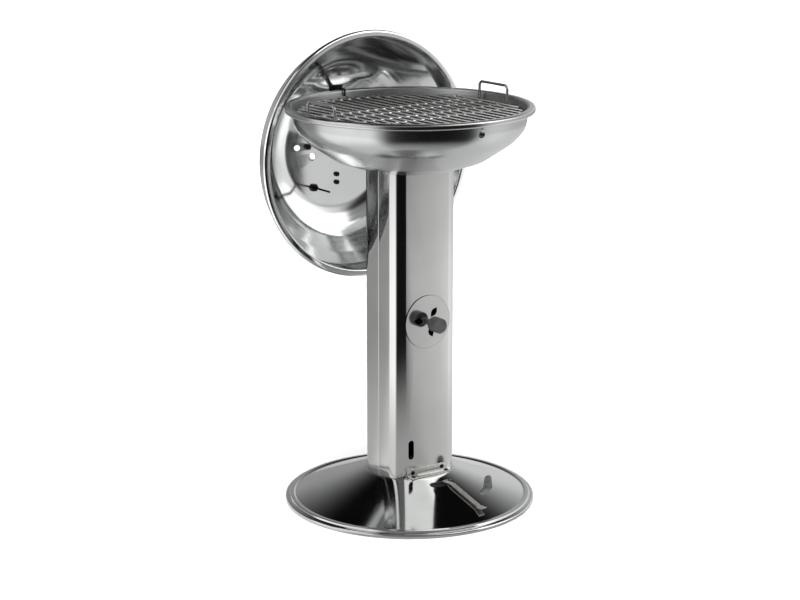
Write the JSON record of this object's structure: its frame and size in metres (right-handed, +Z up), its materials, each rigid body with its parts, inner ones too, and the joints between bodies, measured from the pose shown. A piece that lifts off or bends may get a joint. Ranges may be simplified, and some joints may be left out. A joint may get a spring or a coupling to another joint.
{
  "type": "charcoal grill",
  "caption": "Free-standing pillar charcoal grill: round bowl with lift-out wire grate on a chimney column and spun cone foot, with its lid hooked on the rim.",
  "frame": {"origin": "on the floor, under the middle of the column", "axes": "+Z up along the column, -Y towards the front with the air regulator, +X to the right of someone facing the front; the lid hangs at +Y"},
  "size_m": [0.452, 0.504, 0.837],
  "materials": {
    "polished_steel": "mirror-polished stainless sheet",
    "satin_steel": "satin-polished stainless sheet",
    "plain_steel": "plain mill-finish stainless sheet",
    "grate_wire": "bright plated wire",
    "fire_wire": "dull steel wire",
    "fastener_steel": "zinc-plated steel",
    "dark_plastic": "heat-proof moulded plastic",
    "black_wire": "blackened steel",
    "dark_fastener": "blackened steel",
    "dial_steel": "turned steel case",
    "pointer_red": "painted"
  },
  "bodies": {
    "frame": {"base_cone": "polished_steel", "bowl": "polished_steel", "column_front": "satin_steel", "column_rear": "satin_steel", "foot_bracket": "satin_steel", "foot_bar": "satin_steel", "pan_strap": "plain_steel", "ash_pan": "plain_steel", "ash_sieve": "plain_steel", "column_head": "plain_steel", "fire_ring": "fire_wire", "fire_rods": "fire_wire", "sieve_rivets": "fastener_steel", "valve_bolt": "fastener_steel", "valve_washer": "fastener_steel", "valve_nut": "fastener_steel", "seam_rivets": "fastener_steel", "foot_screws": "fastener_steel", "bowl_bolts": "fastener_steel", "bowl_nuts": "fastener_steel"},
    "grate": {"grate_ring": "grate_wire", "grate_rods": "grate_wire", "grate_cross_wires": "grate_wire", "grate_handle_left": "grate_wire", "grate_handle_right": "grate_wire"},
    "regulator": {"regulator_disc": "satin_steel", "regulator_shaft": "fastener_steel", "regulator_knob": "dark_plastic", "regulator_washer": "fastener_steel", "regulator_nut": "fastener_steel"},
    "lever": {"ash_valve": "plain_steel", "ash_lever": "satin_steel", "lever_rivets": "fastener_steel"},
    "lid": {"lid_shell": "polished_steel", "lid_hook": "black_wire", "hook_plate": "black_wire", "hook_rivets": "fastener_steel", "lid_handle_feet": "dark_plastic", "lid_handle_bar": "dark_plastic", "handle_bolts": "dark_fastener", "handle_nuts": "dark_fastener", "vent_pivot": "dark_fastener", "vent_nut": "dark_fastener", "dial_case": "dial_steel", "dial_probe": "dark_fastener", "dial_nut": "dark_fastener"},
    "damper": {"vent_damper": "satin_steel"},
    "pointer": {"dial_pointer": "pointer_red"}
  },
  "joints": [
    {"name": "grate_lift", "type": "slide", "parent": "frame", "child": "grate", "axis": [0, 0, 1], "range_m": [0, 0.025]},
    {"name": "lid_lift", "type": "slide", "parent": "frame", "child": "lid", "axis": [0, 0, 1], "range_m": [0, 0.1]},
    {"name": "regulator_turn", "type": "hinge", "parent": "frame", "child": "regulator", "pos_m": [0, -0.053, 0.34], "axis": [0, -1, 0], "range_deg": [0, 60]},
    {"name": "lever_swing", "type": "hinge", "parent": "frame", "child": "lever", "pos_m": [0, 0, 0.057], "axis": [0, 0, 1], "range_deg": [-15, 0]},
    {"name": "damper_turn", "type": "hinge", "parent": "lid", "child": "damper", "pos_m": [-0.0634, 0.232, 0.6184], "axis": [0, 1, 0], "range_deg": [-48, 12]},
    {"name": "pointer_turn", "type": "hinge", "parent": "lid", "child": "pointer", "pos_m": [-0.0505, 0.2407, 0.5413], "axis": [0, 1, 0], "range_deg": [-130, 130]}
  ]
}
